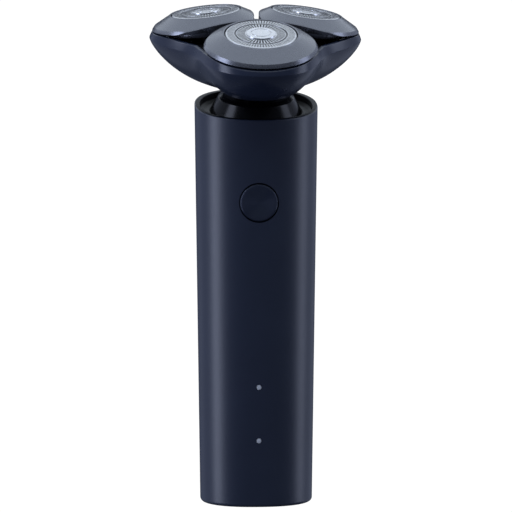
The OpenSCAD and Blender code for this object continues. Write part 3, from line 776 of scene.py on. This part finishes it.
def add_head_trim():
    """The frame under the covers and the gear cover, kept clear of the bowl's pulled-in sides."""
    add_trimmed("frame_skin", "cutter_frame", "cutter_unit", "gloss_black", (WEB_BOX, FRAME_RIM_BOX))
    add_trimmed("gear_lid", "gear_cover", "head_base", "inner_plastic", (COVER_RIM_BOX,))


# ---------------------------------------------------------------- shaving units

UNIT_GAP = 0.64
CUT_R = 30.0
CUT_SHIFT = 2.2
SKIRT_R = 13.4
SKIRT_LOW = -5.6
SKIRT_T = 1.1
HOLLOW_TOP = -3.1
LIP_R = FOIL_R + 1.0
LIP_HIGH = 0.05
CONE_FALL = 0.545
LIP_STEP = 0.27
BEVEL_LEVEL = -2
BEVEL_FADE = 1.2
BORE_R = FOIL_R + 0.25
BORE_LOW = -2.1
CORNER_SOFTNESS = 2.2
COVER_TURNS = 360
COVER_KEYS = (0, 0.12, 0.35, 0.1, 0.25, 0.2, 0.12, 0, 0.2, 0.2, 0, 0)


def soft_min(a, b, softness):
    """The smaller of two distances, rounded off where they are alike."""
    share = max(softness - abs(a - b), 0) / softness
    return min(a, b) - share * share * softness / 4


def cut_reach(turn, z):
    """Distance from the foil's middle to the nearer of the cuts where a cover meets its neighbours."""
    line = (UNIT_R + z * math.sin(UNIT_TILT)) * math.sin(math.pi / 3) - UNIT_GAP
    ray = Vector((math.cos(turn), math.sin(turn)))
    cuts = []
    for side in (-1, 1):
        facing = Vector((-math.sin(math.pi / 3), side * 0.5))
        along = Vector((-0.5, -side * math.sin(math.pi / 3)))
        middle = facing * (line - CUT_R) + along * CUT_SHIFT
        reach = ray.dot(middle)
        cuts.append(reach + math.sqrt(reach**2 - middle.length_squared + CUT_R**2))
    return min(cuts)


def cover_outline(turn):
    """Closed section of a cover at one turn, from the foil's hole over the cone to the skirt."""
    cut = cut_reach(turn, BEVEL_LEVEL)
    edge = soft_min(COVER_R, cut, CORNER_SOFTNESS)
    low_edge = soft_min(COVER_R, cut_reach(turn, COVER_EDGE), CORNER_SOFTNESS)
    # The bevel is wide on the round edge and narrow along the cuts.
    roundness = max(0.0, min(1.0, (cut - COVER_R) / BEVEL_FADE))
    bevel_w = 0.3 + 0.45 * roundness
    bevel_drop = 0.35 + 0.6 * roundness
    brink = edge - bevel_w
    brink_z = LIP_HIGH - LIP_STEP - CONE_FALL * (brink - LIP_R)
    return [
        (BORE_R, BORE_LOW), (BORE_R, LIP_HIGH), (LIP_R - 0.3, LIP_HIGH), (LIP_R, LIP_HIGH - LIP_STEP),
        (brink, brink_z), (edge, brink_z - bevel_drop), (low_edge, COVER_EDGE), (SKIRT_R, COVER_EDGE),
        (SKIRT_R, SKIRT_LOW), (SKIRT_R - SKIRT_T, SKIRT_LOW), (SKIRT_R - SKIRT_T, HOLLOW_TOP),
        (LIP_R + 0.2, BORE_LOW),
    ]


def add_cover(i, place):
    """A dark metallic ring round one foil, with a lip, a cone and a bevel."""
    rings = []
    for k in range(COVER_TURNS):
        turn = math.tau * k / COVER_TURNS
        section = soften(cover_outline(turn), COVER_KEYS, 4)
        rings.append([(p[0] * math.cos(turn), p[0] * math.sin(turn), p[1]) for p in section])
    obj = ring_skin(f"cover_skin_{i}", rings, place, [TITANIUM])
    finish_piece(obj, f"shaving_unit_{i}", "cover_titanium", f"ring_cover_{i}")


FOIL_TURNS = 360
INNER_TRACK = (4.75, 7.15)
OUTER_TRACK = (8.15, 10.1)
OUTER_PERIOD, OUTER_SLOT = 5, 2
INNER_PERIOD, INNER_SLOT = 8, 4
# Radii of the band in the groove between the tracks whose faces are painted darker as painted shade.
GROOVE_SHADE_BAND = (7.3, 7.9)
FOIL_T = 0.28
FOIL_PROFILE = (
    (3.9, -0.02), (4.5, 0), (INNER_TRACK[0], 0), (INNER_TRACK[1], 0),
    (7.35, -0.03), (7.45, -0.3), (7.85, -0.3), (7.95, -0.03), (OUTER_TRACK[0], 0), (OUTER_TRACK[1], 0),
    (10.3, -0.02), (10.5, -0.1), (10.62, -0.26), (FOIL_R, -0.45), (FOIL_R, -2.3),
)


def in_slot(k, low_r):
    """Whether the face at turn step k whose inner edge is at a radius lies in one of the slots."""
    if low_r == INNER_TRACK[0]:
        return k % INNER_PERIOD < INNER_SLOT
    if low_r == OUTER_TRACK[0]:
        return k % OUTER_PERIOD < OUTER_SLOT
    return False


def add_foil(i, place):
    """A thin steel cup with two rings of slots cut right through and a groove between them; the groove's faces
    take the darkened steel as painted shade.
    """
    verts = [
        (r * math.cos(a), r * math.sin(a), z)
        for r, z in FOIL_PROFILE
        for a in (math.tau * k / FOIL_TURNS for k in range(FOIL_TURNS))
    ]
    faces = []
    for j, (r, _) in enumerate(FOIL_PROFILE[:-1]):
        for k in range(FOIL_TURNS):
            if not in_slot(k, r):
                k2 = (k + 1) % FOIL_TURNS
                near, far = j * FOIL_TURNS, (j + 1) * FOIL_TURNS
                faces.append((near + k, near + k2, far + k2, far + k))
    obj = make_object(f"foil_skin_{i}", verts, faces, place, [FOIL_STEEL, SHADE_DARKENED_STEEL])
    to_local, up = place.inverted(), place.to_3x3().col[2] / MM
    for p in obj.data.polygons:
        reach = (to_local @ p.center).to_2d().length
        # Faces in the groove take the darkened steel: painted shade along the groove.
        p.material_index = int(GROOVE_SHADE_BAND[0] < reach < GROOVE_SHADE_BAND[1])
        if p.normal.dot(up) < -0.2:
            p.flip()
    shell = obj.modifiers.new("thickness", "SOLIDIFY")
    shell.thickness = FOIL_T * MM
    shell.offset = -1
    apply_modifiers(obj)
    mark_edges(obj)
    finish_piece(obj, f"shaving_unit_{i}", "foil_steel", f"shaving_foil_{i}")


def add_cap(i, place):
    """A bright cap with a soft edge and one fine circle turned into it."""
    points = [
        (AXIS_R, 0.42), (2.7, 0.4), (2.76, 0.15), (3.04, 0.15), (3.1, 0.39), (CAP_R, 0.33), (CAP_R, -0.1),
        (AXIS_R, -0.1),
    ]
    radii = [0, 0.06, 0.04, 0.04, 0.06, 0.22, 0, 0]
    obj = lathe(f"cap_skin_{i}", [tuple(p) for p in soften(points, radii)], place, [CAP_STEEL])
    finish_piece(obj, f"shaving_unit_{i}", "cap_chrome", f"foil_cap_{i}")


def add_shaving_units():
    """A cover, a foil and a cap for each unit, in its own tilted frame."""
    for i, place in zip(UNITS, UNIT_FRAMES):
        add_cover(i, place)
        add_foil(i, place)
        add_cap(i, place)


# ---------------------------------------------------------------- stage

FLOOR_HALF = 3.0
WHITE = 1.05
FILL = 0.12
COOL = (0.70, 0.77, 1.0)
DAY = (0.83, 0.91, 1.0)


def show_to_camera(tree, shown, otherwise, output):
    """Sends one shader to the camera and another to every other ray."""
    path = tree.nodes.new("ShaderNodeLightPath")
    mix = tree.nodes.new("ShaderNodeMixShader")
    tree.links.new(path.outputs["Is Camera Ray"], mix.inputs["Fac"])
    tree.links.new(otherwise, mix.inputs[1])
    tree.links.new(shown, mix.inputs[2])
    tree.links.new(mix.outputs["Shader"], tree.nodes[output].inputs["Surface"])


def add_stage():
    """A plain floor that shows as pale and neither blocks nor bounces light."""
    h = FLOOR_HALF
    mesh = bpy.data.meshes.new("floor")
    mesh.from_pydata([(-h, -h, 0), (h, -h, 0), (h, h, 0), (-h, h, 0)], [], [(0, 1, 2, 3)])
    floor = link_object("floor", mesh)
    mat = bpy.data.materials.new("pale_floor")
    mat.use_nodes = True
    tree = mat.node_tree
    tree.nodes.remove(tree.nodes["Principled BSDF"])
    white = tree.nodes.new("ShaderNodeEmission")
    white.inputs["Strength"].default_value = WHITE
    clear = tree.nodes.new("ShaderNodeBsdfTransparent")
    show_to_camera(tree, white.outputs["Emission"], clear.outputs["BSDF"], "Material Output")
    floor.data.materials.append(mat)


def add_world():
    """A pale background, and a dim cool fill from all round."""
    world = bpy.data.worlds.new("studio")
    world.use_nodes = True
    tree = world.node_tree
    back = tree.nodes["Background"]
    back.inputs["Color"].default_value = (0.62, 0.72, 1.0, 1)
    back.inputs["Strength"].default_value = FILL
    white = tree.nodes.new("ShaderNodeBackground")
    white.inputs["Color"].default_value = (1, 1, 1, 1)
    white.inputs["Strength"].default_value = WHITE
    show_to_camera(tree, white.outputs["Background"], back.outputs["Background"], "World Output")
    bpy.context.scene.world = world


def polar_place(azimuth, distance, height):
    """A place round the object; azimuth 0 is the front, and it grows towards +X."""
    a = math.radians(azimuth)
    return (distance * math.sin(a), -distance * math.cos(a), height)


def soft_light(name, place, aim, size, radiance, color):
    """An area light of a given brightness as seen in a mirror, whatever its size."""
    data = bpy.data.lights.new(name, "AREA")
    data.shape = "RECTANGLE"
    data.size, data.size_y = size
    data.energy = radiance * math.pi * size[0] * size[1]
    data.color = color
    light = link_object(name, data)
    light.location = place
    light.rotation_mode = "QUATERNION"
    light.rotation_quaternion = (Vector(aim) - Vector(place)).to_track_quat("-Z", "Y")


def add_lights():
    """Two upright strips beside the handle, two dim panels behind, one light in front and one overhead."""
    middle, level = (0, 0, 0.08), (0, 0, 0.3)
    soft_light("strip_left", polar_place(-72, 0.8, 0.3), level, (0.32, 1.15), 4.4, COOL)
    soft_light("strip_right", polar_place(83, 0.8, 0.3), level, (0.34, 1.15), 2.3, COOL)
    soft_light("panel_left", polar_place(-122, 1.0, 0.1), middle, (1.1, 1.5), 0.32, COOL)
    soft_light("panel_right", polar_place(124, 1.0, 0.1), middle, (1.0, 1.5), 0.36, COOL)
    soft_light("front_high", (0, -0.65, 0.78), (0, 0, 0.15), (1.0, 0.22), 1.5, DAY)
    soft_light("overhead", (0, 0.4, 0.95), (0, 0.4, 0), (2.4, 2.0), 1.0, DAY)


CAMERA_DISTANCE = 540.0
CAMERA_HEIGHT = 93.1
CAMERA_TURN = math.radians(3.4)
CAMERA_TIP = math.radians(1.806)
CAMERA_SENSOR = 36
CAMERA_LENS = 122.1046875


def add_camera():
    """The photograph's view: almost level, from a little left of the front."""
    data = bpy.data.cameras.new("camera")
    data.sensor_width = CAMERA_SENSOR
    data.lens = CAMERA_LENS
    data.clip_start, data.clip_end = 0.01, 20
    camera = link_object("camera", data)
    across, back = math.sin(CAMERA_TURN), math.cos(CAMERA_TURN)
    camera.location = Vector((-across * CAMERA_DISTANCE, -back * CAMERA_DISTANCE, CAMERA_HEIGHT)) * MM
    ahead = Vector((across * math.cos(CAMERA_TIP), back * math.cos(CAMERA_TIP), -math.sin(CAMERA_TIP)))
    camera.rotation_mode = "QUATERNION"
    camera.rotation_quaternion = ahead.to_track_quat("-Z", "Y")
    bpy.context.scene.camera = camera


bpy.context.scene.view_settings.view_transform = "Standard"
add_camera()
add_world()
add_stage()
add_lights()
paint_frame()
add_handle()
add_button()
add_light_pipes()
add_neck()
add_deck()
add_bowl()
add_head_trim()
add_shaving_units()
